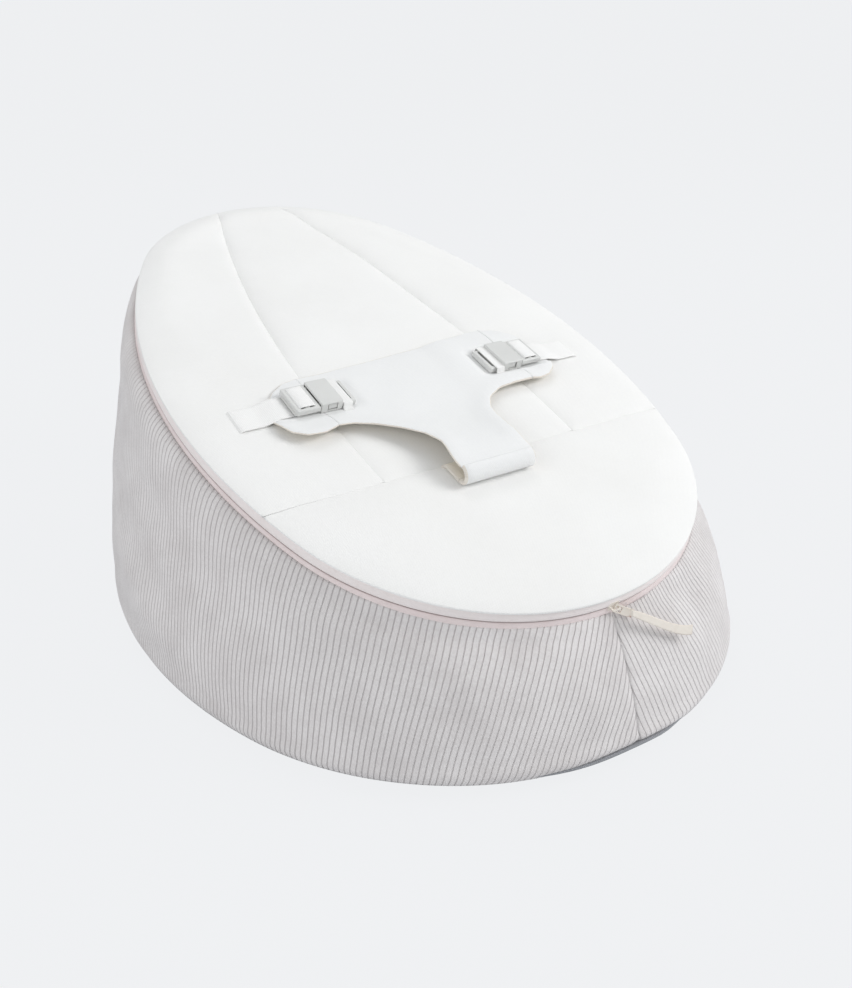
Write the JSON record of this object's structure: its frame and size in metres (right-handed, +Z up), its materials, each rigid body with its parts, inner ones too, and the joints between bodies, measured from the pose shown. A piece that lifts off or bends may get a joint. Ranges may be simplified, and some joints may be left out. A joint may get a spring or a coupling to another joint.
{
  "type": "bean bag seat",
  "caption": "Egg-shaped bean bag seat for a baby, with a zipped-on padded top and a T-shaped harness held by side-release buckles.",
  "frame": {"origin": "on the floor, under the middle of the bag between its sides and of the rim along its length", "axes": "+X to the right seen from the foot, +Y from the foot with the zip slider to the head, +Z up"},
  "size_m": [0.6, 0.7687, 0.3408],
  "materials": {
    "base_fabric": "matte",
    "corduroy": "matte",
    "liner": "matte",
    "beads": "matte",
    "zip_tape": "matte",
    "zip_coil": "satin",
    "cover_fabric": "matte",
    "padding": "matte",
    "patch": "matte",
    "harness_fabric": "matte",
    "buckle_plastic": "satin",
    "webbing": "matte",
    "enamel": "satin",
    "pull_tab": "matte"
  },
  "bodies": {
    "bag": {"back_cover": "cover_fabric", "base_panel": "base_fabric", "bead_bag": "liner", "bead_filling": "beads", "crotch_anchor": "patch", "crotch_strap": "harness_fabric", "front_cover": "cover_fabric", "lower_zip_coil": "zip_coil", "lower_zip_tape": "zip_tape", "seat_padding": "padding", "side_cover_left": "cover_fabric", "side_cover_right": "cover_fabric", "skirt_left": "corduroy", "skirt_right": "corduroy", "strap_anchor_left": "patch", "strap_anchor_right": "patch", "strap_left": "webbing", "strap_right": "webbing", "upper_zip_coil": "zip_coil", "upper_zip_tape": "zip_tape"},
    "slider": {"zip_slider": "enamel"},
    "pull": {"zip_pull_tongue": "enamel", "zip_pull_strap": "pull_tab"},
    "harness": {"crotch_fold": "harness_fabric", "harness_panel": "harness_fabric", "ear_pad_left": "harness_fabric", "ear_pad_right": "harness_fabric", "buckle_socket_left": "buckle_plastic", "buckle_socket_right": "buckle_plastic", "buckle_keeper_left": "webbing", "buckle_keeper_right": "webbing"},
    "plug_left": {"buckle_plug_left": "buckle_plastic", "strap_loop_left": "webbing"},
    "front_latch_left": {"front_latch_left": "buckle_plastic"},
    "rear_latch_left": {"rear_latch_left": "buckle_plastic"},
    "plug_right": {"buckle_plug_right": "buckle_plastic", "strap_loop_right": "webbing"},
    "front_latch_right": {"front_latch_right": "buckle_plastic"},
    "rear_latch_right": {"rear_latch_right": "buckle_plastic"}
  },
  "joints": [
    {"name": "zip_slider_travel", "type": "hinge", "parent": "bag", "child": "slider", "pos_m": [0, -0.13458, 0.18841], "axis": [0, 0.2756, -0.9613], "range_deg": [0, 50]},
    {"name": "zip_pull_swing", "type": "hinge", "parent": "slider", "child": "pull", "pos_m": [0, -0.35913, 0.12402], "axis": [-0.4517, 0.0996, -0.8866], "range_deg": [0, 100]},
    {"name": "harness_open", "type": "hinge", "parent": "bag", "child": "harness", "pos_m": [0, -0.20473, 0.19617], "axis": [1, 0, 0], "range_deg": [0, 150], "deforming": ["crotch_fold", "ear_pad_left", "ear_pad_right"]},
    {"name": "buckle_right_release", "type": "slide", "parent": "bag", "child": "plug_right", "axis": [1, 0, 0], "range_m": [0, 0.03], "deforming": ["strap_right", "front_latch_right", "rear_latch_right"]},
    {"name": "rear_latch_right_press", "type": "hinge", "parent": "plug_right", "child": "rear_latch_right", "pos_m": [0.122, -0.04449, 0.24139], "axis": [0, -0.2756, 0.9613], "range_deg": [0, 8], "stiffness_Nm_per_rad": 0.0004},
    {"name": "front_latch_right_press", "type": "hinge", "parent": "plug_right", "child": "front_latch_right", "pos_m": [0.122, -0.07179, 0.23357], "axis": [0, 0.2756, -0.9613], "range_deg": [0, 8], "stiffness_Nm_per_rad": 0.0004},
    {"name": "buckle_left_release", "type": "slide", "parent": "bag", "child": "plug_left", "axis": [-1, 0, 0], "range_m": [0, 0.03], "deforming": ["strap_left", "front_latch_left", "rear_latch_left"]},
    {"name": "rear_latch_left_press", "type": "hinge", "parent": "plug_left", "child": "rear_latch_left", "pos_m": [-0.122, -0.04449, 0.24139], "axis": [0, 0.2756, -0.9613], "range_deg": [0, 8], "stiffness_Nm_per_rad": 0.0004},
    {"name": "front_latch_left_press", "type": "hinge", "parent": "plug_left", "child": "front_latch_left", "pos_m": [-0.122, -0.07179, 0.23357], "axis": [0, -0.2756, 0.9613], "range_deg": [0, 8], "stiffness_Nm_per_rad": 0.0004}
  ],
  "couplings": [
    {"joint": "front_latch_right_press", "follows": "rear_latch_right_press", "ratio": 1},
    {"joint": "front_latch_left_press", "follows": "rear_latch_left_press", "ratio": 1}
  ]
}
